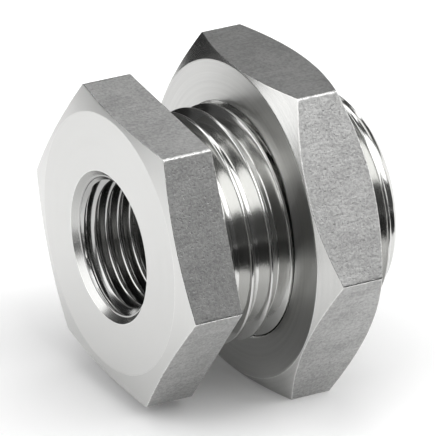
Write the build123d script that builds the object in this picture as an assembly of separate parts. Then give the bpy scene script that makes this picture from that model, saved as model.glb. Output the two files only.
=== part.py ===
from build123d import *
import os
from math import cos, radians, tan

# A bulkhead push-in fitting in stainless steel, in millimetres. The axis runs along X: the hexagon
# head with its female thread looks to -X, the tube goes in from +X. The origin lies on the axis in
# the plane of the head's rear face, where the panel seats. Z is up, with a flat of the nut below.

# Hexagon head
head_across_flats = 19.0
head_height = 4.0
head_turn = 6.3  # degrees that the head stands turned from the nut's flats
head_face_inset = 0.6  # of the flat front face's circle from the flats; a shallow chamfer follows
head_chamfer_angle = 13.0

# Barrel with its M16x1.5 thread
barrel_r = 8.0
barrel_length = 14.2
barrel_end_chamfer = 1.2
thread_pitch = 1.5
thread_depth = 0.85
thread_turn = -139.2  # degrees from the top, towards the near side, where its groove starts

# Female G1/8 thread, drawn at its minor diameter
female_r = 4.283
female_depth = 7.0
countersink_depth = 0.92
drill_point_angle = 118.0
through_r = 2.25

# Tube port for a 6 mm tube
tube_r = 3.0
pilot_clearance = 0.1
pilot_length = 1.5
pilot_lead_in = 0.15
seal_chamber_depth = 1.6  # round the tube
seal_chamber_length = 1.8
collet_chamber_r = 5.5
mouth_chamfer = 0.3

# Tube seal, at the shape that it is squeezed to round a tube
seal_bore_clearance = 0.03
seal_clearance = 0.02
seal_land = 0.7  # length that touches the tube, in the middle of the seal
seal_relief = 0.2  # of the seal's ends from the tube
seal_lip = 0.3
seal_groove_depth = 0.8

# Ring that keeps the seal in its chamber
retainer_thickness = 0.5
retainer_clearance = 0.05
retainer_bore_clearance = 0.15

# Pressed-in sleeve with the cone that closes the collet
sleeve_recess = 0.8  # below the rim of the barrel
skirt_wall = 0.5
skirt_length = 0.7
cone_length = 1.8
guide_length = 2.1

# Slotted spring collet
finger_count = 8
slot_width = 0.6
slot_length = 3.2
collet_bore_clearance = 0.25
collet_wall = 0.5
collet_head_length = 1.4
cone_clearance = 0.06
collet_end_clearance = 0.08  # to the retainer, with the ring pressed in
tooth_tip_clearance = 0.05
tooth_pitch = 0.45
tooth_rows = 2
tooth_start = 0.2  # from the head's inner end to the first tooth

# Release ring
release_travel = 0.7
shank_wall = 0.3
guide_clearance = 0.05
flange_clearance = 0.6  # to the wall of the barrel's mouth
flange_thickness = 0.85
ring_lip = 0.45
ring_entry_chamfer = 0.25
ring_edge_chamfer = 0.12
ring_end_gap = 1.0  # from the collet's head to the ring's inner end

# Lock nut, 22 mm across its flats, with its bore plain and clear of the thread's crests
nut_wall = 2.95  # from its bore to a flat
nut_thickness = 5.0
nut_face_inset = 0.1  # of the face's circle from the flats
nut_chamfer_angle = 30.0
nut_bore_clearance = 0.05
nut_countersink = 0.55
panel_gap = 5.55  # head to nut

# How far chamfer cones run on past a hexagon's corners, and the thread's groove past its crests
past_corner = 1.0
past_crest = 0.3

# Places along the axis
head_front_x = -head_height
female_floor_x = head_front_x + female_depth
drill_tip_x = female_floor_x + (female_r - through_r) / tan(radians(drill_point_angle / 2))
sleeve_end_x = barrel_length - sleeve_recess
guide_start_x = sleeve_end_x - guide_length
cone_start_x = guide_start_x - cone_length
sleeve_start_x = cone_start_x - skirt_length
collet_chamber_x = sleeve_start_x - retainer_thickness
seal_chamber_x = collet_chamber_x - seal_chamber_length
tube_stop_x = seal_chamber_x - pilot_length
collet_start_x = sleeve_start_x + release_travel + collet_end_clearance
collet_shoulder_x = collet_start_x + collet_head_length
ring_start_x = collet_shoulder_x + ring_end_gap
ring_end_x = barrel_length + flange_thickness
collet_end_x = ring_end_x - ring_lip

# Radii that follow from a neighbour
head_face_r = head_across_flats / 2 - head_face_inset
nut_bore_r = barrel_r + nut_bore_clearance
nut_across_flats = 2 * (nut_bore_r + nut_wall)
nut_face_r = nut_across_flats / 2 - nut_face_inset
countersink_r = female_r + countersink_depth
pilot_r = tube_r + pilot_clearance
seal_chamber_r = tube_r + seal_chamber_depth
seal_bore_r = tube_r + seal_bore_clearance
tooth_tip_r = tube_r + tooth_tip_clearance
collet_bore_r = tube_r + collet_bore_clearance
collet_r = collet_bore_r + collet_wall
shank_r = collet_r + shank_wall
guide_r = shank_r + guide_clearance
flange_r = collet_chamber_r - flange_clearance
skirt_bore_r = collet_chamber_r - skirt_wall
cone_slope = (skirt_bore_r - guide_r) / cone_length


def turned(*points):
    """Solid of revolution about the axis, from points (along the axis, radius)."""
    return revolve(Plane.XZ * make_face(Polyline(*points, close=True)), Axis.X)


def hexagon(across_flats, start_x, length, turn=0.0):
    """Hexagonal bar along the axis, with a flat on top when it isn't turned."""
    outline = RegularPolygon(across_flats / 2, 6, major_radius=False, rotation=turn)
    return extrude(Plane.YZ.offset(start_x) * outline, length)


def corner_r(across_flats):
    return across_flats / 2 / cos(radians(30))


def thread_groove():
    """Groove of the outer thread, with flanks at 60 degrees, from the head to past the rim."""
    start_x = thread_pitch / 2
    flank_slope = tan(radians(30))
    crest_half = thread_pitch * 7 / 16
    root_half = crest_half - thread_depth * flank_slope
    outer_half = crest_half + past_crest * flank_slope
    path = Helix(
        thread_pitch,
        barrel_length - start_x + thread_pitch,
        barrel_r,
        center=(start_x, 0, 0),
        direction=(1, 0, 0),
    )
    section = Polyline(
        (start_x - root_half, barrel_r - thread_depth),
        (start_x + root_half, barrel_r - thread_depth),
        (start_x + outer_half, barrel_r + past_crest),
        (start_x - outer_half, barrel_r + past_crest),
        close=True,
    )
    return sweep(Plane.XZ * make_face(section), path=path, is_frenet=True)


def fitting_body():
    """Head, threaded barrel and stepped bore, turned from one hexagonal bar."""
    over_r = corner_r(head_across_flats) + past_corner
    chamfer_depth = (over_r - head_face_r) * tan(radians(head_chamfer_angle))
    blank = turned(
        (head_front_x, 0),
        (head_front_x, head_face_r),
        (head_front_x + chamfer_depth, over_r),
        (0, over_r),
        (0, 0),
    )
    head = hexagon(head_across_flats, head_front_x, head_height, head_turn) & blank
    plain_barrel = turned(
        (-head_height / 2, 0),
        (-head_height / 2, barrel_r),
        (barrel_length - barrel_end_chamfer, barrel_r),
        (barrel_length, barrel_r - barrel_end_chamfer),
        (barrel_length, 0),
    )
    barrel = Rot(X=thread_turn) * (plain_barrel - thread_groove())
    thread_bore = turned(
        (head_front_x, 0),
        (head_front_x, countersink_r),
        (head_front_x + countersink_depth, female_r),
        (female_floor_x, female_r),
        (drill_tip_x, through_r),
        (drill_tip_x, 0),
    )
    through_bore = turned(
        (head_front_x, 0),
        (head_front_x, through_r),
        (barrel_length, through_r),
        (barrel_length, 0),
    )
    tube_bore = turned(
        (tube_stop_x, 0),
        (tube_stop_x, pilot_r),
        (seal_chamber_x - pilot_lead_in, pilot_r),
        (seal_chamber_x, pilot_r + pilot_lead_in),
        (seal_chamber_x, seal_chamber_r),
        (collet_chamber_x, seal_chamber_r),
        (collet_chamber_x, collet_chamber_r),
        (barrel_length - mouth_chamfer, collet_chamber_r),
        (barrel_length, collet_chamber_r + mouth_chamfer),
        (barrel_length, 0),
    )
    return head + barrel - thread_bore - through_bore - tube_bore


def tube_seal():
    """Lip seal that fills its chamber, with its groove open towards the pressure."""
    outer_r = seal_chamber_r - seal_clearance
    nose_r = seal_bore_r + seal_relief
    land_start_x = seal_chamber_x + (seal_chamber_length - seal_land) / 2
    return turned(
        (seal_chamber_x, nose_r),
        (seal_chamber_x, nose_r + seal_lip),
        (seal_chamber_x + seal_groove_depth, (seal_bore_r + outer_r) / 2),
        (seal_chamber_x, outer_r - seal_lip),
        (seal_chamber_x, outer_r),
        (collet_chamber_x, outer_r),
        (collet_chamber_x, nose_r),
        (land_start_x + seal_land, seal_bore_r),
        (land_start_x, seal_bore_r),
    )


def seal_retainer():
    """Flat ring between the seal and the sleeve, on the step of the bore."""
    bore_r = tube_r + retainer_bore_clearance
    rim_r = collet_chamber_r - retainer_clearance
    return turned(
        (collet_chamber_x, bore_r),
        (collet_chamber_x, rim_r),
        (sleeve_start_x, rim_r),
        (sleeve_start_x, bore_r),
    )


def cone_sleeve():
    """Sleeve pressed into the barrel: skirt on the retainer, closing cone, guide for the ring."""
    return turned(
        (sleeve_start_x, skirt_bore_r),
        (sleeve_start_x, collet_chamber_r),
        (sleeve_end_x, collet_chamber_r),
        (sleeve_end_x, guide_r),
        (guide_start_x, guide_r),
        (cone_start_x, skirt_bore_r),
    )


def tooth_points():
    """Saw teeth of the collet: steep towards the seal, sloping towards the mouth."""
    points = []
    for row in range(tooth_rows):
        x = collet_start_x + tooth_start + row * tooth_pitch
        points += [(x, collet_bore_r), (x, tooth_tip_r)]
    last = collet_start_x + tooth_start + tooth_rows * tooth_pitch
    return points + [(last, collet_bore_r)]


def grip_collet():
    """Ring of spring fingers with wedge heads and gripping teeth, slotted from the seal's side."""

    def cone_r(x):
        return skirt_bore_r - cone_slope * (x - cone_start_x) - cone_clearance

    blank = turned(
        (collet_start_x, collet_bore_r),
        (collet_start_x, cone_r(collet_start_x)),
        (collet_shoulder_x, cone_r(collet_shoulder_x)),
        (collet_shoulder_x, collet_r),
        (collet_end_x, collet_r),
        (collet_end_x, collet_bore_r),
        *reversed(tooth_points()),
    )
    slot_box = Box(
        slot_length,
        slot_width,
        collet_chamber_r,
        align=(Align.MIN, Align.CENTER, Align.MIN),
    )
    slots = [
        Rot(X=360 / finger_count * (i + 0.5)) * Pos(collet_start_x, 0, 0) * slot_box
        for i in range(finger_count)
    ]
    return blank - slots


def release_ring():
    """Flanged ring on the collet's tail, guided in the sleeve."""
    return turned(
        (ring_start_x, collet_r),
        (ring_start_x, shank_r),
        (barrel_length, shank_r),
        (barrel_length, flange_r),
        (ring_end_x - ring_edge_chamfer, flange_r),
        (ring_end_x, flange_r - ring_edge_chamfer),
        (ring_end_x, collet_bore_r + ring_entry_chamfer),
        (ring_end_x - ring_entry_chamfer, collet_bore_r),
        (collet_end_x, collet_bore_r),
        (collet_end_x, collet_r),
    )


def lock_nut():
    """Thin hexagon nut, chamfered and countersunk on both faces."""
    over_r = corner_r(nut_across_flats) + past_corner
    chamfer_depth = (over_r - nut_face_r) * tan(radians(nut_chamfer_angle))
    end_x = panel_gap + nut_thickness
    ring = turned(
        (panel_gap, nut_bore_r + nut_countersink),
        (panel_gap, nut_face_r),
        (panel_gap + chamfer_depth, over_r),
        (end_x - chamfer_depth, over_r),
        (end_x, nut_face_r),
        (end_x, nut_bore_r + nut_countersink),
        (end_x - nut_countersink, nut_bore_r),
        (panel_gap + nut_countersink, nut_bore_r),
    )
    return hexagon(nut_across_flats, panel_gap, nut_thickness) & ring


pieces = {
    "fitting_body": fitting_body(),
    "lock_nut": lock_nut(),
    "tube_seal": tube_seal(),
    "seal_retainer": seal_retainer(),
    "cone_sleeve": cone_sleeve(),
    "grip_collet": grip_collet(),
    "release_ring": release_ring(),
}

os.makedirs("parts", exist_ok=True)
for name, solid in pieces.items():
    export_step(solid, f"parts/{name}.step")
    print(f"{name}: {solid.volume:.2f} mm3")
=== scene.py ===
import math

import bmesh
import bpy
from mathutils import Matrix, Vector


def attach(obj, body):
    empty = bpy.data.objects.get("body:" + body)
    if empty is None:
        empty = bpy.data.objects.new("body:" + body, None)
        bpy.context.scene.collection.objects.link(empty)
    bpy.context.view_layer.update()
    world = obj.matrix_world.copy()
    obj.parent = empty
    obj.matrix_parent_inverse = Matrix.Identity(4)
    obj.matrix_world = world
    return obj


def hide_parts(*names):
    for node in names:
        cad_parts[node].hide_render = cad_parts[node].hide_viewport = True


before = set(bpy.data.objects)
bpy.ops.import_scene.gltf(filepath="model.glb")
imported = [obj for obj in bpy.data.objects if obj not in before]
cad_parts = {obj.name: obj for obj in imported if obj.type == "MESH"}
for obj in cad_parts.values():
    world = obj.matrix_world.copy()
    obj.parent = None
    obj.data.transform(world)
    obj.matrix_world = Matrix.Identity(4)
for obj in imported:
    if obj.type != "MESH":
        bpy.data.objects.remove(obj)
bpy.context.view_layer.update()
mm = 0.001  # lengths below are in millimetres, angles in degrees
print("frame loaded:", sorted(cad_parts))


def addObject(name, data):
    made = bpy.data.objects.new(name, data)
    bpy.context.scene.collection.objects.link(made)
    return made


def direction(azimuth, elevation):
    turn, rise = math.radians(azimuth), math.radians(elevation)
    flat = math.cos(rise)
    return Vector((math.cos(turn) * flat, math.sin(turn) * flat, math.sin(rise)))


# Camera, fitted to the photograph together with the part

view = {
    "azimuth": 30.218,  # how far it stands round to the head's side
    "elevation": 24.86,
    "roll": 0.899,
    "distance": 411.94,
    "target": (4.0, -0.634, 0.662),
    "focalPixels": 6179.1,
    "imagePixels": 436,
    "sensorWidth": 36.0,
    "clipStart": 10.0,
}


def makeCamera():
    back = direction(-90 - view["azimuth"], view["elevation"])
    lens = bpy.data.cameras.new("productCamera")
    lens.sensor_width = view["sensorWidth"]
    lens.lens = view["focalPixels"] / view["imagePixels"] * view["sensorWidth"]
    lens.clip_start = view["clipStart"] * mm
    camera = addObject("productCamera", lens)
    camera.location = (Vector(view["target"]) + back * view["distance"]) * mm
    roll = Matrix.Rotation(math.radians(view["roll"]), 4, "Z")
    facing = back.to_track_quat("Z", "Y").to_matrix().to_4x4()
    camera.rotation_euler = (facing @ roll).to_euler()
    bpy.context.scene.camera = camera


makeCamera()
print("camera placed")

# Node trees. A value that isn't a socket is set on the input


def plug(tree, source, socket):
    if isinstance(source, bpy.types.NodeSocket):
        tree.links.new(source, socket)
    else:
        socket.default_value = source


def addNode(tree, kind, inputs=None, **settings):
    node = tree.nodes.new(kind)
    for name, value in settings.items():
        setattr(node, name, value)
    for key, source in (inputs or {}).items():
        plug(tree, source, node.inputs[key])
    return node


def calc(tree, operation, *values):
    node = addNode(tree, "ShaderNodeMath", operation=operation)
    for socket, value in zip(node.inputs, values):
        plug(tree, value, socket)
    return node.outputs[0]


def ramp(tree, value, low, high, outLow=0.0, outHigh=1.0):
    inputs = {
        "Value": value, "From Min": low, "From Max": high, "To Min": outLow, "To Max": outHigh,
    }
    node = addNode(tree, "ShaderNodeMapRange", inputs, interpolation_type="SMOOTHSTEP")
    return node.outputs[0]


def noise(tree, vector, scale, detail=2.0, roughness=0.5):
    inputs = {"Vector": vector, "Scale": scale, "Detail": detail, "Roughness": roughness}
    return addNode(tree, "ShaderNodeTexNoise", inputs).outputs[0]


def swing(tree, *noiseValues):  # noise about zero
    return calc(tree, "SUBTRACT", noise(tree, *noiseValues), 0.5)


def stretched(tree, vector, x, y, z):
    node = addNode(tree, "ShaderNodeVectorMath", {0: vector, 1: (x, y, z)}, operation="MULTIPLY")
    return node.outputs[0]


def newGroup(name, inputs, outputs):
    tree = bpy.data.node_groups.new(name, "ShaderNodeTree")
    for title, value in inputs.items():
        kind = "NodeSocketVector" if value is None else "NodeSocketFloat"
        socket = tree.interface.new_socket(title, in_out="INPUT", socket_type=kind)
        if value is not None:
            socket.default_value = value
    for title in outputs:
        tree.interface.new_socket(title, in_out="OUTPUT", socket_type="NodeSocketFloat")
    given = addNode(tree, "NodeGroupInput").outputs
    return tree, given, addNode(tree, "NodeGroupOutput").inputs


# Finish groups: fine lines round the axis, grain of drawn bar, wear and a painted highlight along
# edges and thread crests. Their vector is in millimetres

turning = {
    "driftScale": 0.12, "drift": 1.5, "patchScale": 0.2, "patchLow": 0.35, "patchHigh": 0.65,
    "fineScale": 1.0, "broadScale": 0.22, "roughness": 0.6,
}
drawing = {
    "streakStretch": (0.4, 2.6, 2.6), "gritScale": 5.5, "gritDetail": 4.0, "gritRoughness": 0.68,
    "cloudScale": 0.5, "cloudRoughness": 0.55, "clouds": 0.35,
    "pitScale": 7.0, "pitLow": 0.62, "pitHigh": 0.70, "pitDepth": 0.5,
}
wearHighlightTear = {"tearScale": 3.5, "tearRoughness": 0.7, "fade": 0.35}


def makeTurningMarks():
    inputs = {"Vector": None, "Feed": 0.1, "Fade": 0.5}
    tree, given, out = newGroup("turningMarks", inputs, ["Height", "Tone"])
    vector = given["Vector"]
    x, y, z = addNode(tree, "ShaderNodeSeparateXYZ", {0: vector}).outputs
    square = calc(tree, "MULTIPLY_ADD", y, y, calc(tree, "MULTIPLY", z, z))
    along = calc(tree, "ADD", calc(tree, "SQRT", square), x)
    across = calc(tree, "DIVIDE", along, given["Feed"])
    drift = noise(tree, vector, turning["driftScale"], 1.0)
    drift = calc(tree, "MULTIPLY", drift, turning["drift"])
    track = addNode(tree, "ShaderNodeCombineXYZ", {0: across, 1: drift}).outputs[0]
    patch = noise(tree, vector, turning["patchScale"])
    patch = ramp(tree, patch, turning["patchLow"], turning["patchHigh"])
    strength = calc(tree, "SUBTRACT", 1.0, calc(tree, "MULTIPLY", patch, given["Fade"]))
    fine = swing(tree, track, turning["fineScale"], 2.0, turning["roughness"])
    broad = swing(tree, track, turning["broadScale"], 3.0, turning["roughness"])
    plug(tree, calc(tree, "MULTIPLY_ADD", fine, strength, 0.5), out["Height"])
    plug(tree, calc(tree, "MULTIPLY_ADD", broad, strength, 0.5), out["Tone"])
    return tree


def makeDrawnGrain():
    inputs = {"Vector": None, "Streak": 1.0}
    tree, given, out = newGroup("drawnGrain", inputs, ["Height", "Tone", "Pits"])
    vector = given["Vector"]
    streaks = swing(tree, stretched(tree, vector, *drawing["streakStretch"]), 1.0, 3.0)
    gritValues = (drawing[key] for key in ("gritScale", "gritDetail", "gritRoughness"))
    grit = noise(tree, vector, *gritValues)
    clouds = swing(tree, vector, drawing["cloudScale"], 3.0, drawing["cloudRoughness"])
    pits = noise(tree, vector, drawing["pitScale"])
    pits = ramp(tree, pits, drawing["pitLow"], drawing["pitHigh"])
    mixed = calc(tree, "MULTIPLY_ADD", streaks, given["Streak"], grit)
    plug(tree, calc(tree, "MULTIPLY_ADD", pits, -drawing["pitDepth"], mixed), out["Height"])
    plug(tree, calc(tree, "MULTIPLY_ADD", clouds, drawing["clouds"], mixed), out["Tone"])
    plug(tree, pits, out["Pits"])
    return tree


# Edge mask: rounded edges and thread crests come out lighter, partly wear and partly a painted
# highlight
def makeEdgeWearAndHighlight():
    inputs = {"Vector": None, "Ragged": 0.5, "Amount": 0.5}
    tree, given, out = newGroup("edgeWearHighlight", inputs, ["Mask"])
    edge = addNode(tree, "ShaderNodeAttribute", attribute_name="edge").outputs["Fac"]
    tear = swing(tree, given["Vector"], wearHighlightTear["tearScale"], 3.0, wearHighlightTear["tearRoughness"])
    wornAndHighlit = calc(tree, "MULTIPLY_ADD", tear, given["Ragged"], edge)
    level = calc(tree, "SUBTRACT", 1.0, given["Amount"])
    plug(tree, ramp(tree, wornAndHighlit, level, calc(tree, "ADD", level, wearHighlightTear["fade"])), out["Mask"])
    return tree


marksGroup = makeTurningMarks()
grainGroup = makeDrawnGrain()
wearHighlightGroup = makeEdgeWearAndHighlight()

# Materials. Feed is the distance of the turning marks, tone how far they part in colour

finishes = {
    "headFace": {
        "colour": (0.65, 0.65, 0.64), "roughness": 0.42, "anisotropic": 0.2, "marks": 0.1,
        "feed": 0.08, "fade": 0.8, "tone": 0.01, "wearAndHighlight": 0.30, "ragged": 0.5,
    },
    "headChamfer": {
        "colour": (0.60, 0.60, 0.59), "roughness": 0.30, "anisotropic": 0.2, "marks": 0.15,
        "feed": 0.08, "fade": 0.8, "tone": 0.02, "wearAndHighlight": 0.25, "ragged": 0.5,
    },
    "nutFace": {
        "colour": (0.54, 0.54, 0.53), "roughness": 0.30, "anisotropic": 0.75, "marks": 0.9,
        "feed": 0.09, "fade": 0.6, "tone": 0.09, "wearAndHighlight": 0.25, "ragged": 0.5,
    },
    "chamfer": {
        "colour": (0.50, 0.50, 0.49), "roughness": 0.24, "anisotropic": 0.5, "marks": 0.5,
        "feed": 0.12, "fade": 0.5, "tone": 0.08, "wearAndHighlight": 0.30, "ragged": 0.5,
    },
    "thread": {
        "colour": (0.48, 0.48, 0.47), "roughness": 0.14, "anisotropic": 0.4, "marks": 0.25,
        "feed": 0.07, "fade": 0.5, "tone": 0.08, "wearAndHighlight": 0.30, "ragged": 0.2,
    },
    "bore": {
        "colour": (0.36, 0.36, 0.355), "roughness": 0.16, "anisotropic": 0.4, "marks": 0.3,
        "feed": 0.06, "fade": 0.5, "tone": 0.12, "wearAndHighlight": 0.30, "ragged": 0.2,
    },
    "ring": {
        "colour": (0.50, 0.50, 0.49), "roughness": 0.20, "anisotropic": 0.4, "marks": 0.3,
        "feed": 0.05, "fade": 0.5, "tone": 0.08, "wearAndHighlight": 0.25, "ragged": 0.2,
    },
}
turned = {
    "toneSpan": (0.3, 0.7), "roughSpan": (0.2, 0.8), "roughShares": (0.85, 1.15),
    "wornHighlightLightness": 1.25, "markDepth": 0.01,
}
flats = {
    "colour": (0.40, 0.40, 0.395), "tone": 0.24, "toneSpan": (0.25, 0.75), "streak": 0.25,
    "pit": (0.20, 0.20, 0.195), "pitShare": 0.6,
    "wornHighlightColour": (0.66, 0.66, 0.65), "wearAndHighlight": 0.32, "ragged": 1.3,
    "roughness": 0.42, "wornRoughness": 0.25, "grain": 0.6, "depth": 0.03,
}
rubber = {
    "dark": (0.018, 0.018, 0.018), "dusty": (0.04, 0.04, 0.04), "dustScale": 1.5,
    "dustSpan": (0.3, 0.7), "roughness": (0.42, 0.56),
    "skinScale": 12.0, "skin": 0.2, "depth": 0.01,
}


def scaledObject(tree):
    place = addNode(tree, "ShaderNodeTexCoord").outputs["Object"]
    return stretched(tree, place, 1 / mm, 1 / mm, 1 / mm)


def newFinish(name, metallic=1.0):
    material = bpy.data.materials.new(name)
    material.use_nodes = True
    shader = material.node_tree.nodes["Principled BSDF"]
    shader.inputs["Metallic"].default_value = metallic
    return material, material.node_tree, shader


def mixColour(tree, factor, first, second):
    node = addNode(tree, "ShaderNodeMix", {0: factor}, data_type="RGBA")
    for index, colour in ((6, first), (7, second)):
        isSocket = isinstance(colour, bpy.types.NodeSocket)
        plug(tree, colour if isSocket else (*colour, 1.0), node.inputs[index])
    return node.outputs[2]


def shaded(colour, factor):
    return tuple(min(1.0, part * factor) for part in colour)


def darkAndLight(values):
    return (shaded(values["colour"], 1 + sign * values["tone"]) for sign in (-1, 1))


def bump(tree, height, strength, distance, shader):
    inputs = {"Height": height, "Strength": strength, "Distance": distance * mm}
    plug(tree, addNode(tree, "ShaderNodeBump", inputs).outputs[0], shader.inputs["Normal"])


def placeGroup(tree, group, **inputs):
    node = addNode(tree, "ShaderNodeGroup", node_tree=group)
    for name, source in inputs.items():
        plug(tree, source, node.inputs[name])
    return node.outputs


def makeTurnedSteel(name):
    values = finishes[name]
    material, tree, shader = newFinish(name + "Steel")
    vector = scaledObject(tree)
    marks = placeGroup(tree, marksGroup, Vector=vector, Feed=values["feed"], Fade=values["fade"])
    wearAndHighlight = placeGroup(
        tree, wearHighlightGroup, Vector=vector, Ragged=values["ragged"], Amount=values["wearAndHighlight"])
    tone = ramp(tree, marks["Tone"], *turned["toneSpan"])
    metal = mixColour(tree, tone, *darkAndLight(values))
    # Under the edge mask the colour turns lighter: wear with a painted highlight on edges and
    # crests
    wornHighlightColour = shaded(values["colour"], turned["wornHighlightLightness"])
    plug(tree, mixColour(tree, wearAndHighlight["Mask"], metal, wornHighlightColour), shader.inputs["Base Color"])
    rough = [values["roughness"] * share for share in turned["roughShares"]]
    rough = ramp(tree, marks["Tone"], *turned["roughSpan"], *rough)
    plug(tree, rough, shader.inputs["Roughness"])
    shader.inputs["Anisotropic"].default_value = values["anisotropic"]
    tangent = addNode(tree, "ShaderNodeTangent", direction_type="RADIAL", axis="X")
    plug(tree, tangent.outputs[0], shader.inputs["Tangent"])
    bump(tree, marks["Height"], values["marks"], turned["markDepth"], shader)
    return material


def makeDrawnSteel():
    material, tree, shader = newFinish("drawnSteel")
    vector = scaledObject(tree)
    grain = placeGroup(tree, grainGroup, Vector=vector, Streak=flats["streak"])
    wearAndHighlight = placeGroup(tree, wearHighlightGroup, Vector=vector, Ragged=flats["ragged"], Amount=flats["wearAndHighlight"])
    tone = ramp(tree, grain["Tone"], *flats["toneSpan"])
    metal = mixColour(tree, tone, *darkAndLight(flats))
    pitShare = calc(tree, "MULTIPLY", grain["Pits"], flats["pitShare"])
    pitted = mixColour(tree, pitShare, metal, flats["pit"])
    # Under the edge mask the flats' edges take a lighter colour: wear with a painted highlight
    wornAndHighlit = mixColour(tree, wearAndHighlight["Mask"], pitted, flats["wornHighlightColour"])
    plug(tree, wornAndHighlit, shader.inputs["Base Color"])
    rough = ramp(tree, wearAndHighlight["Mask"], 0.0, 1.0, flats["roughness"], flats["wornRoughness"])
    plug(tree, rough, shader.inputs["Roughness"])
    bump(tree, grain["Height"], flats["grain"], flats["depth"], shader)
    return material


def makeSealRubber():
    material, tree, shader = newFinish("sealRubber", 0.0)
    vector = scaledObject(tree)
    dust = noise(tree, vector, rubber["dustScale"], 3.0)
    colour = mixColour(tree, dust, rubber["dark"], rubber["dusty"])
    plug(tree, colour, shader.inputs["Base Color"])
    rough = ramp(tree, dust, *rubber["dustSpan"], *rubber["roughness"])
    plug(tree, rough, shader.inputs["Roughness"])
    bump(tree, noise(tree, vector, rubber["skinScale"]), rubber["skin"], rubber["depth"], shader)
    return material


steel = {name: makeTurnedSteel(name) for name in finishes}
steel["flats"] = makeDrawnSteel()
sealRubber = makeSealRubber()
print("materials made")

# Columns of the meshes: angles about the axis, from the top towards the camera's side. They crowd
# at a hexagon's corners, where the edges are fine

columns = {"perSide": 28, "crowding": 0.95}


def columnAngles(turn):
    angles = []
    for index in range(columns["perSide"] * 6):
        side = index / columns["perSide"]
        side -= columns["crowding"] * math.sin(2 * math.pi * side) / (2 * math.pi)
        angles.append(math.radians(side * 60 + 30 + turn))
    return angles


def awayFromCorner(angle, turn):
    sector = math.radians(60)
    away = (angle - math.radians(30 + turn)) % sector
    return min(away, sector - away)


def hexagonR(angle, turn, acrossFlats, cornerR):
    away, half, flat = awayFromCorner(angle, turn), math.radians(30), acrossFlats / 2
    if away > half - math.atan((flat - cornerR) * math.tan(half) / flat):
        return flat / math.cos(half - away)
    centre = (flat - cornerR) / math.cos(half)
    return centre * math.cos(away) + math.sqrt(cornerR**2 - (centre * math.sin(away)) ** 2)


# Profiles: points (along the axis, radius, edge radius, finish of the stretch that follows).
# Each edge is rounded; rows beside it keep the faces flat and fade the wear and painted highlight.
# The shares are of the stretch beside the edge and keep short stretches in order

edges = {
    "steps": 3, "roundShare": 0.25,
    "hold": 0.03, "holdShare": 0.05, "holdWearAndHighlight": 0.7,
    "reachOfWearHighlight": 0.2, "shareOfWearHighlight": 0.2,
    "cornerHold": 0.04, "cornerDepth": 0.1, "sinkWearAndHighlight": 0.3, "onFace": 0.001,
}


def roundedProfile(points):
    made = []
    for index, (x, r, radius, finish) in enumerate(points):
        if radius == 0:
            made.append((x, r, finish, 0.0))
            continue
        here = Vector((x, r))
        before = Vector(points[index - 1][:2]) - here
        after = Vector(points[(index + 1) % len(points)][:2]) - here
        lengths = before.length, after.length
        before.normalize()
        after.normalize()
        bend = math.pi - math.acos(max(-1.0, min(1.0, before.dot(after))))
        reach = min(radius * math.tan(bend / 2), *(edges["roundShare"] * side for side in lengths))
        previous = points[index - 1][3]
        hold = [min(edges["hold"], edges["holdShare"] * side) for side in lengths]
        fade = [min(edges["reachOfWearHighlight"], edges["shareOfWearHighlight"] * side) for side in lengths]
        made.append((*(here + before * (reach + fade[0])), previous, 0.0))
        made.append((*(here + before * (reach + hold[0])), previous, edges["holdWearAndHighlight"]))
        for step in range(edges["steps"] + 1):
            t = step / edges["steps"]
            point = here + before * reach * (1 - t) ** 2 + after * reach * t**2
            made.append((*point, previous if t < 0.5 else finish, 1.0))
        made.append((*(here + after * (reach + hold[1])), finish, edges["holdWearAndHighlight"]))
        made.append((*(here + after * (reach + fade[1])), finish, 0.0))
    return made


# Edge mask on a hexagon's profile: corners get worn edges with a painted highlight, turned faces
# none
def hexagonWearAndHighlight(points, angle, turn, hexR, sinkR, faces):
    past = max(0.0, hexR * awayFromCorner(angle, turn) - edges["cornerHold"])
    corner = max(0.0, 1.0 - past / edges["reachOfWearHighlight"])
    made = []
    for x, r, finish, wearAndHighlight in points:
        if r > sinkR + edges["sinkWearAndHighlight"] and min(abs(x - face) for face in faces) < edges["onFace"]:
            wearAndHighlight = 0.0  # a turned face shows no worn edge
        if r > hexR - edges["cornerDepth"]:
            wearAndHighlight = max(wearAndHighlight, corner)
        made.append((x, r, finish, wearAndHighlight))
    return made


def newShell():
    return {"vertices": [], "faces": [], "edge": [], "finishes": []}


def sweepProfile(shell, profileAt, angles, closed=False):
    first = len(shell["vertices"])
    for angle in angles:
        profile = profileAt(angle)
        for x, r, finish, wearAndHighlight in profile:
            shell["vertices"].append((x, -r * math.sin(angle), r * math.cos(angle)))
            shell["edge"].append(wearAndHighlight)
    rows = len(profile)
    for column in range(len(angles)):
        here = first + column * rows
        there = first + (column + 1) % len(angles) * rows
        for row in range(rows if closed else rows - 1):
            above = (row + 1) % rows
            shell["faces"].append((here + row, here + above, there + above, there + row))
            shell["finishes"].append(profile[row][2])


# Threads, wrapped round the axis by geometry nodes from a flat strip with a row for each step of
# the thread's form. At both ends the strip is gathered on a plane, under a cone where there is one

threadLengths = (
    "Pitch", "Phase", "Start", "End", "Crest Radius", "Depth", "Start Radius", "End Radius",
    "Start Fade", "End Fade",
)
threadShares = ("Turn", "Side", "Crest Half", "Root Half", "Rounding")  # Side is -1 in a bore
welding = {"stripDistance": 0.003, "distance": 0.004, "sharpAngle": 34}


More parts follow.
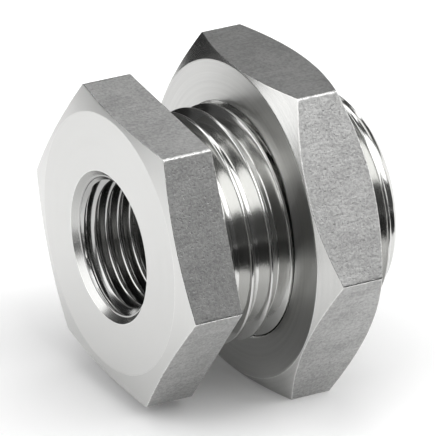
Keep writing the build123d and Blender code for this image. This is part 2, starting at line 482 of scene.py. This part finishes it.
def stripPlace(tree, size):  # angle and place along the axis of a point of the strip
    position = addNode(tree, "GeometryNodeInputPosition").outputs[0]
    place = addNode(tree, "ShaderNodeSeparateXYZ", {0: position}).outputs
    side = calc(tree, "MULTIPLY", place[0], 6.0)
    wave = calc(tree, "SINE", calc(tree, "MULTIPLY", side, 2 * math.pi))
    side = calc(tree, "MULTIPLY_ADD", wave, -columns["crowding"] / (2 * math.pi), side)
    corner = calc(tree, "ADD", size["Turn"], math.pi / 6)
    angle = calc(tree, "MULTIPLY_ADD", side, math.pi / 3, corner)
    turns = calc(tree, "DIVIDE", angle, 2 * math.pi)
    level = calc(tree, "ADD", place[1], turns)
    along = calc(tree, "MULTIPLY_ADD", level, size["Pitch"], size["Phase"])
    ends = {0: along, 1: size["Start"], 2: size["End"]}
    return angle, turns, addNode(tree, "ShaderNodeClamp", ends).outputs[0]


def threadForm(tree, size, turns, along):  # 0 on the crest, 1 in the root
    level = calc(tree, "DIVIDE", calc(tree, "SUBTRACT", along, size["Phase"]), size["Pitch"])
    fromCrest = calc(tree, "PINGPONG", calc(tree, "SUBTRACT", level, turns), 0.5)
    flank = calc(tree, "SUBTRACT", 0.5, size["Crest Half"])
    flank = calc(tree, "SUBTRACT", flank, size["Root Half"])
    form = calc(tree, "SUBTRACT", fromCrest, size["Crest Half"])
    form = calc(tree, "DIVIDE", form, flank)
    form = calc(tree, "SMOOTH_MIN", form, 1.0, size["Rounding"])
    return calc(tree, "SMOOTH_MAX", form, 0.0, size["Rounding"])


def threadRadius(tree, size, along, form):
    startFade = calc(tree, "ADD", size["Start"], size["Start Fade"])
    startFade = ramp(tree, along, size["Start"], startFade)
    endFade = calc(tree, "SUBTRACT", size["End"], along)
    endFade = ramp(tree, endFade, 0.0, size["End Fade"])
    faded = calc(tree, "MULTIPLY", calc(tree, "MULTIPLY", startFade, endFade), form)
    crest = calc(tree, "MULTIPLY", size["Crest Radius"], size["Side"])
    reach = calc(tree, "SUBTRACT", crest, calc(tree, "MULTIPLY", faded, size["Depth"]))
    pastStart = calc(tree, "SUBTRACT", along, size["Start"])
    toEnd = calc(tree, "SUBTRACT", size["End"], along)
    startCone = calc(tree, "MULTIPLY_ADD", size["Start Radius"], size["Side"], pastStart)
    endCone = calc(tree, "MULTIPLY_ADD", size["End Radius"], size["Side"], toEnd)
    reach = calc(tree, "MINIMUM", reach, calc(tree, "MINIMUM", startCone, endCone))
    return calc(tree, "MULTIPLY", reach, size["Side"])


def makeThreadTree():
    tree = bpy.data.node_groups.new("wrapThread", "GeometryNodeTree")
    sockets = [("Strip", "Geometry")]
    sockets += [(name, "Float") for name in threadLengths + threadShares]
    sockets += [("Finish", "Material")]
    for name, kind in sockets:
        tree.interface.new_socket(name, in_out="INPUT", socket_type="NodeSocket" + kind)
    tree.interface.new_socket("Thread", in_out="OUTPUT", socket_type="NodeSocketGeometry")
    size = addNode(tree, "NodeGroupInput").outputs
    angle, turns, along = stripPlace(tree, size)
    form = threadForm(tree, size, turns, along)
    radius = threadRadius(tree, size, along, form)
    sine = calc(tree, "MULTIPLY", calc(tree, "SINE", angle), -1.0)
    wrapped = addNode(tree, "ShaderNodeCombineXYZ", {
        0: along,
        1: calc(tree, "MULTIPLY", radius, sine),
        2: calc(tree, "MULTIPLY", radius, calc(tree, "COSINE", angle)),
    }).outputs[0]
    shape = addNode(tree, "GeometryNodeSetPosition",
                    {"Geometry": size["Strip"], "Position": wrapped}).outputs[0]
    # Crests get the edge mask and so a lighter colour: a painted highlight along the crests
    crestHighlight = calc(tree, "SUBTRACT", 1.0, form)
    shape = addNode(tree, "GeometryNodeStoreNamedAttribute",
                    {"Geometry": shape, "Name": "edge", "Value": crestHighlight},
                    data_type="FLOAT", domain="POINT").outputs[0]
    shape = addNode(tree, "GeometryNodeMergeByDistance",
                    {"Geometry": shape, "Distance": welding["stripDistance"] * mm}).outputs[0]
    shape = addNode(tree, "GeometryNodeRealizeInstances", {"Geometry": shape}).outputs[0]
    shape = addNode(tree, "GeometryNodeSetMaterial",
                    {"Geometry": shape, "Material": size["Finish"]}).outputs[0]
    plug(tree, shape, addNode(tree, "NodeGroupOutput").inputs["Thread"])
    return tree


threadTree = makeThreadTree()


def stripMesh(sizes, halfForm):
    count = columns["perSide"] * 6
    form = list(halfForm) + [1 - row for row in reversed(halfForm[1:-1])]
    low = math.floor((sizes["Start"] - sizes["Phase"]) / sizes["Pitch"]) - 3
    high = math.ceil((sizes["End"] - sizes["Phase"]) / sizes["Pitch"]) + 2
    levels = [turn + row for turn in range(low, high) for row in form]
    points = [(column / count, level, 0) for column in range(count + 1) for level in levels]
    quads = []
    for column in range(count):
        for row in range(len(levels) - 1):
            here = column * len(levels) + row
            there = here + len(levels)
            quads.append((here, here + 1, there + 1, there))
    mesh = bpy.data.meshes.new("strip")
    mesh.from_pydata(points, [], quads)
    return mesh


def addThread(shell, sizes, halfForm, finish):
    strip = addObject("strip", stripMesh(sizes, halfForm))
    modifier = strip.modifiers.new("wrapThread", "NODES")
    modifier.node_group = threadTree
    for item in threadTree.interface.items_tree:
        if item.name in threadLengths:
            modifier[item.identifier] = sizes[item.name] * mm
        elif item.name in threadShares:
            modifier[item.identifier] = float(sizes[item.name])
        elif item.name == "Finish":
            modifier[item.identifier] = steel[finish]
    bpy.context.view_layer.update()
    wrapped = strip.evaluated_get(bpy.context.evaluated_depsgraph_get())
    baked = bpy.data.meshes.new_from_object(wrapped)
    first = len(shell["vertices"])
    shell["vertices"] += [tuple(vertex.co / mm) for vertex in baked.vertices]
    shell["edge"] += [item.value for item in baked.attributes["edge"].data]
    for polygon in baked.polygons:
        shell["faces"].append(tuple(first + corner for corner in polygon.vertices))
        shell["finishes"].append(finish)
    print("thread wrapped:", finish, len(baked.polygons), "faces")
    bpy.data.objects.remove(strip)
    bpy.data.meshes.remove(baked)


def weldPiece(name, shell, body, replaced):
    mesh = bpy.data.meshes.new(name)
    mesh.from_pydata([Vector(vertex) * mm for vertex in shell["vertices"]], [], shell["faces"])
    used = sorted(set(shell["finishes"]))
    for finish in used:
        mesh.materials.append(steel[finish])
    indices = [used.index(finish) for finish in shell["finishes"]]
    mesh.polygons.foreach_set("material_index", indices)
    mesh.attributes.new("edge", "FLOAT", "POINT").data.foreach_set("value", shell["edge"])
    work = bmesh.new()
    work.from_mesh(mesh)
    bmesh.ops.remove_doubles(work, verts=work.verts, dist=welding["distance"] * mm)
    bmesh.ops.recalc_face_normals(work, faces=work.faces)
    openEdges = sum(1 for edge in work.edges if len(edge.link_faces) != 2)
    volume = work.calc_volume(signed=True) / mm**3
    for face in work.faces:
        face.smooth = True
    work.to_mesh(mesh)
    work.free()
    mesh.set_sharp_from_angle(angle=math.radians(welding["sharpAngle"]))
    piece = addObject(name, mesh)
    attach(piece, body)
    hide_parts(replaced)
    print(f"{name}: {len(mesh.polygons)} faces, {openEdges} open edges, {volume:.1f} mm3")


# Fitting body: head, barrel, the thread round it, the threaded bore and the tube port. A form
# gives a thread's rows from crest to root, in turns

head = {
    "acrossFlats": 19.0, "height": 4.0, "turn": 6.3, "cornerR": 0.16, "edgeR": 0.05,
    "faceR": 8.9, "faceRaised": 0.28, "faceEdgeR": 0.3, "chamferAngle": 13.0,
    "sinkR": 5.203, "sinkEdgeR": 0.05, "step": ((-3.6, 4.82), (-3.57, 4.72)), "stepEdgeR": 0.02,
    "threadX": -3.5, "threadR": 4.70,
}
barrel = {"r": 8.0, "end": 14.2, "endR": 6.8, "pitch": 1.5, "phase": 0.58}
portBore = (
    (3.0, 4.283), (4.22, 2.25), (5.0, 2.25), (5.0, 3.1), (6.35, 3.1), (6.5, 3.25), (6.5, 4.6),
    (8.3, 4.6), (8.3, 5.5),
)
portMouth = ((13.9, 5.5, 0.05, "chamfer"), (14.2, 5.8, 0.05, "nutFace"))
barrelThread = {
    "Pitch": barrel["pitch"], "Phase": barrel["phase"], "Turn": math.radians(head["turn"]),
    "Start": 0.0, "End": barrel["end"], "Side": 1, "Crest Radius": barrel["r"], "Depth": 0.851,
    "Crest Half": 0.0625, "Root Half": 0.11, "Rounding": 0.07,
    "Start Radius": 20.0,  # past the head, so there is no cone
    "End Radius": barrel["endR"], "Start Fade": 0.9, "End Fade": 0.001,
}
barrelForm = (0, 0.05, 0.06, 0.066, 0.08, 0.16, 0.26, 0.36, 0.385, 0.395, 0.42, 0.5)
boreThread = {
    "Pitch": 0.907, "Phase": -3.3, "Turn": math.radians(head["turn"]),
    "Start": head["threadX"], "End": portBore[0][0], "Side": -1,
    "Crest Radius": portBore[0][1], "Depth": 0.581,
    "Crest Half": 0.08, "Root Half": 0.08, "Rounding": 0.3,
    "Start Radius": head["threadR"], "Start Fade": 0.001,
    "End Radius": 0.1, "End Fade": 1.4,  # no cone at the bottom, the thread runs out
}
boreForm = (0, 0.04, 0.07, 0.1, 0.13, 0.2, 0.28, 0.36, 0.4, 0.44, 0.5)


def headProfile(angle):
    hexR = hexagonR(angle, head["turn"], head["acrossFlats"], head["cornerR"])
    rise, front, sinkR = head["faceRaised"], -head["height"], head["sinkR"]
    turnedR = math.sqrt(head["faceR"] ** 2 - (rise * math.sin(angle)) ** 2)
    circleR = rise * math.cos(angle) + turnedR
    outside = math.hypot(hexR * math.sin(angle), hexR * math.cos(angle) - rise)
    chamfer = (outside - head["faceR"]) * math.tan(math.radians(head["chamferAngle"]))
    points = roundedProfile([
        (0.0, barrel["r"], 0, "nutFace"),
        (0.0, hexR, head["edgeR"], "flats"),
        (front + chamfer, hexR, head["edgeR"], "headChamfer"),
        (front, circleR, head["faceEdgeR"], "headFace"),
        (front, (circleR + sinkR) / 2, 0, "headFace"),
        (front, sinkR, head["sinkEdgeR"], "chamfer"),
        (*head["step"][0], head["stepEdgeR"], "bore"),
        (*head["step"][1], head["stepEdgeR"], "chamfer"),
        (head["threadX"], head["threadR"], 0, "chamfer"),
    ])
    return hexagonWearAndHighlight(points, angle, head["turn"], hexR, sinkR, (front,))


def portProfile(angle):
    bores = [(x, r, 0, "bore") for x, r in portBore]
    rim = (barrel["end"], barrel["endR"], 0, "nutFace")
    return roundedProfile([*bores, *portMouth, rim])


def makeFittingBody():
    shell = newShell()
    angles = columnAngles(head["turn"])
    sweepProfile(shell, headProfile, angles)
    sweepProfile(shell, portProfile, angles)
    addThread(shell, barrelThread, barrelForm, "thread")
    addThread(shell, boreThread, boreForm, "bore")
    weldPiece("fittingBody", shell, "body", "fitting_body")


makeFittingBody()

# Lock nut. Its thread's crests stand clear of the barrel's roots, half a turn round from them

nut = {
    "acrossFlats": 22.0, "start": 5.55, "end": 10.55, "cornerR": 0.14, "edgeR": 0.05,
    "faceR": 10.9, "faceEdgeR": 0.25, "chamferAngle": 30.0,
    "sinkR": 8.12, "sinkEdgeR": 0.04, "sinkDepth": 0.05, "clearance": 0.05, "depth": 0.812,
}
nutThread = {
    "Pitch": barrel["pitch"], "Phase": barrel["phase"] + barrel["pitch"] / 2, "Turn": 0.0,
    "Start": nut["start"] + nut["sinkDepth"], "End": nut["end"] - nut["sinkDepth"], "Side": -1,
    "Crest Radius": barrel["r"] - nut["depth"] + nut["clearance"], "Depth": nut["depth"],
    "Crest Half": 0.125, "Root Half": 0.0625, "Rounding": 0.07,
    "Start Radius": nut["sinkR"] - nut["sinkDepth"], "Start Fade": 0.001,
    "End Radius": nut["sinkR"] - nut["sinkDepth"], "End Fade": 0.001,
}
nutForm = (0, 0.11, 0.12, 0.13, 0.145, 0.22, 0.3, 0.38, 0.425, 0.44, 0.5)


def nutProfile(angle):
    hexR = hexagonR(angle, 0.0, nut["acrossFlats"], nut["cornerR"])
    depth = (hexR - nut["faceR"]) * math.tan(math.radians(nut["chamferAngle"]))
    start, end, inner, faceR = nut["start"], nut["end"], nut["sinkR"], nut["faceR"]
    points = roundedProfile([
        (start + nut["sinkDepth"], inner - nut["sinkDepth"], 0, "chamfer"),
        (start, inner, nut["sinkEdgeR"], "nutFace"),
        (start, (inner + faceR) / 2, 0, "nutFace"),
        (start, faceR, nut["faceEdgeR"], "chamfer"),
        (start + depth, hexR, nut["edgeR"], "flats"),
        (end - depth, hexR, nut["edgeR"], "chamfer"),
        (end, faceR, nut["faceEdgeR"], "nutFace"),
        (end, (inner + faceR) / 2, 0, "nutFace"),
        (end, inner, nut["sinkEdgeR"], "chamfer"),
        (end - nut["sinkDepth"], inner - nut["sinkDepth"], 0, "chamfer"),
    ])
    return hexagonWearAndHighlight(points, angle, 0.0, hexR, inner, (start, end))


def makeLockNut():
    shell = newShell()
    sweepProfile(shell, nutProfile, columnAngles(0.0))
    addThread(shell, nutThread, nutForm, "thread")
    weldPiece("lockNut", shell, "nut", "lock_nut")


makeLockNut()

# Rings at the mouth of the tube port: points (along the axis, radius, edge radius)

rings = {
    "segments": 128,
    "release": (
        (11.98, 3.75, 0.0), (11.98, 4.05, 0.05), (14.2, 4.05, 0.0), (14.2, 4.9, 0.06),
        (15.05, 4.9, 0.14), (15.05, 3.5, 0.1), (14.8, 3.25, 0.1), (14.6, 3.25, 0.0),
        (14.6, 3.75, 0.0),
    ),
    "sleeve": (
        (8.8, 5.0, 0.0), (8.8, 5.5, 0.0), (13.4, 5.5, 0.05), (13.4, 4.1, 0.12),
        (11.3, 4.1, 0.05), (9.5, 5.0, 0.0),
    ),
}


def makeRing(name, profile, body, replaced):
    rounded = roundedProfile([(x, r, radius, "ring") for x, r, radius in profile])
    shell = newShell()
    angles = [2 * math.pi * step / rings["segments"] for step in range(rings["segments"])]
    sweepProfile(shell, lambda angle: rounded, angles, closed=True)
    weldPiece(name, shell, body, replaced)


makeRing("releaseRing", rings["release"], "release", "release_ring")
makeRing("coneSleeve", rings["sleeve"], "body", "cone_sleeve")

# Collet, retainer and seal keep their own shapes

innerNodes = {
    "grip_collet": steel["ring"], "seal_retainer": steel["ring"], "tube_seal": sealRubber,
}
for node, material in innerNodes.items():
    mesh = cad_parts[node].data
    mesh.materials.clear()
    mesh.materials.append(material)
print("pieces made")

# Floor, light and background

studio = {
    "world": 0.08,
    "floorHeight": -11.0,
    "floorReach": 3000.0,
    "floorColour": 0.86,
    "floorGlow": 0.32,
    "paintedShadeCore": 5.0,
    "paintedShadeReach": 32.0,
    "darkReflectionColour": 0.02,
    "lampDistance": 380,
    "lamps": (
        # name, azimuth and elevation, spans of both, brightness
        ("keySoftbox", -84, 48, 24, 40, 2.4),
        ("topRightSoftbox", -38, 46, 44, 34, 2.5),
        ("leftSoftbox", 172, 34, 64, 44, 2.0),
        ("topLeftSoftbox", -150, 61, 30, 22, 1.6),
        ("overheadSoftbox", 90, 86, 34, 34, 1.9),
        ("rightStrip", -15, 13, 28, 34, 2.1),
        ("backRightSoftbox", 45, 49, 24, 18, 2.8),
        ("backLeftSoftbox", 120, 42, 28, 20, 0.8),
    ),
    "darkReflectionSheets": (
        # name, near corner, far corner: painted dark reflections, seen only in the metal, casting
        # no shadow
        ("frontDarkReflection", (-160, -400, -10.6), (400, -26, -10.6)),
        ("backDarkReflection", (-200, 95, -10.9), (160, 95, 18)),
    ),
}


def grey(tone):
    return tone, tone, tone, 1.0


def emptyMaterial(name):
    material = bpy.data.materials.new(name)
    material.use_nodes = True
    material.node_tree.nodes.clear()
    return material, material.node_tree


def stageQuad(name, corners, material):
    mesh = bpy.data.meshes.new(name)
    mesh.from_pydata([Vector(corner) * mm for corner in corners], [], [(0, 1, 2, 3)])
    mesh.materials.append(material)
    quad = addObject(name, mesh)
    return quad


def makeFloor():
    material, tree = emptyMaterial("paleFloor")
    tone = {"Color": grey(studio["floorColour"])}
    diffuse = addNode(tree, "ShaderNodeBsdfDiffuse", tone).outputs[0]
    rays = addNode(tree, "ShaderNodeLightPath").outputs
    seen = calc(tree, "MAXIMUM", rays["Is Glossy Ray"], rays["Is Transmission Ray"])
    seen = calc(tree, "MAXIMUM", rays["Is Camera Ray"], seen)
    place = {0: scaledObject(tree)}
    away = addNode(tree, "ShaderNodeVectorMath", place, operation="LENGTH").outputs["Value"]
    # The glow is left off near the object, so the floor round it stays darker: painted shade round
    # the object
    glowOutsidePaintedShade = ramp(tree, away, studio["paintedShadeCore"], studio["paintedShadeReach"], 0.0, studio["floorGlow"])
    strength = {"Strength": calc(tree, "MULTIPLY", seen, glowOutsidePaintedShade)}
    glow = addNode(tree, "ShaderNodeEmission", strength).outputs[0]
    both = addNode(tree, "ShaderNodeAddShader", {0: diffuse, 1: glow}).outputs[0]
    addNode(tree, "ShaderNodeOutputMaterial", {"Surface": both})
    reach, level = studio["floorReach"], studio["floorHeight"]
    signs = ((-1, -1), (1, -1), (1, 1), (-1, 1))
    stageQuad("floor", [(x * reach, y * reach, level) for x, y in signs], material)


def makeDarkReflectionSheets():
    material, tree = emptyMaterial("paintedDarkReflection")
    tone = {"Color": grey(studio["darkReflectionColour"])}
    dull = addNode(tree, "ShaderNodeBsdfDiffuse", tone).outputs[0]
    addNode(tree, "ShaderNodeOutputMaterial", {"Surface": dull})
    for name, (x0, y0, z0), (x1, y1, z1) in studio["darkReflectionSheets"]:
        corners = [(x0, y0, z0), (x1, y0, z0), (x1, y1, z1), (x0, y1, z1)]
        sheet = stageQuad(name, corners, material)
        # Hidden from camera, diffuse and shadow rays: they only paint dark reflections on the metal
        sheet.visible_camera = sheet.visible_diffuse = sheet.visible_shadow = False


def makeLamps():
    far = studio["lampDistance"]
    for name, azimuth, elevation, across, up, brightness in studio["lamps"]:
        light = bpy.data.lights.new(name, "AREA")
        light.shape = "RECTANGLE"
        light.size = 2 * far * math.tan(math.radians(across / 2)) * mm
        light.size_y = 2 * far * math.tan(math.radians(up / 2)) * mm
        light.energy = brightness * math.pi * light.size * light.size_y
        lamp = addObject(name, light)
        way = direction(azimuth, elevation)
        lamp.location = way * far * mm
        lamp.rotation_euler = way.to_track_quat("Z", "Y").to_euler()
        lamp.visible_camera = False


def makeWorld():
    world = bpy.data.worlds.new("studio")
    bpy.context.scene.world = world
    world.use_nodes = True
    background = world.node_tree.nodes["Background"]
    background.inputs["Color"].default_value = grey(studio["world"])


makeFloor()
makeDarkReflectionSheets()
makeLamps()
makeWorld()
bpy.context.scene.view_settings.view_transform = "Standard"
print("studio set")
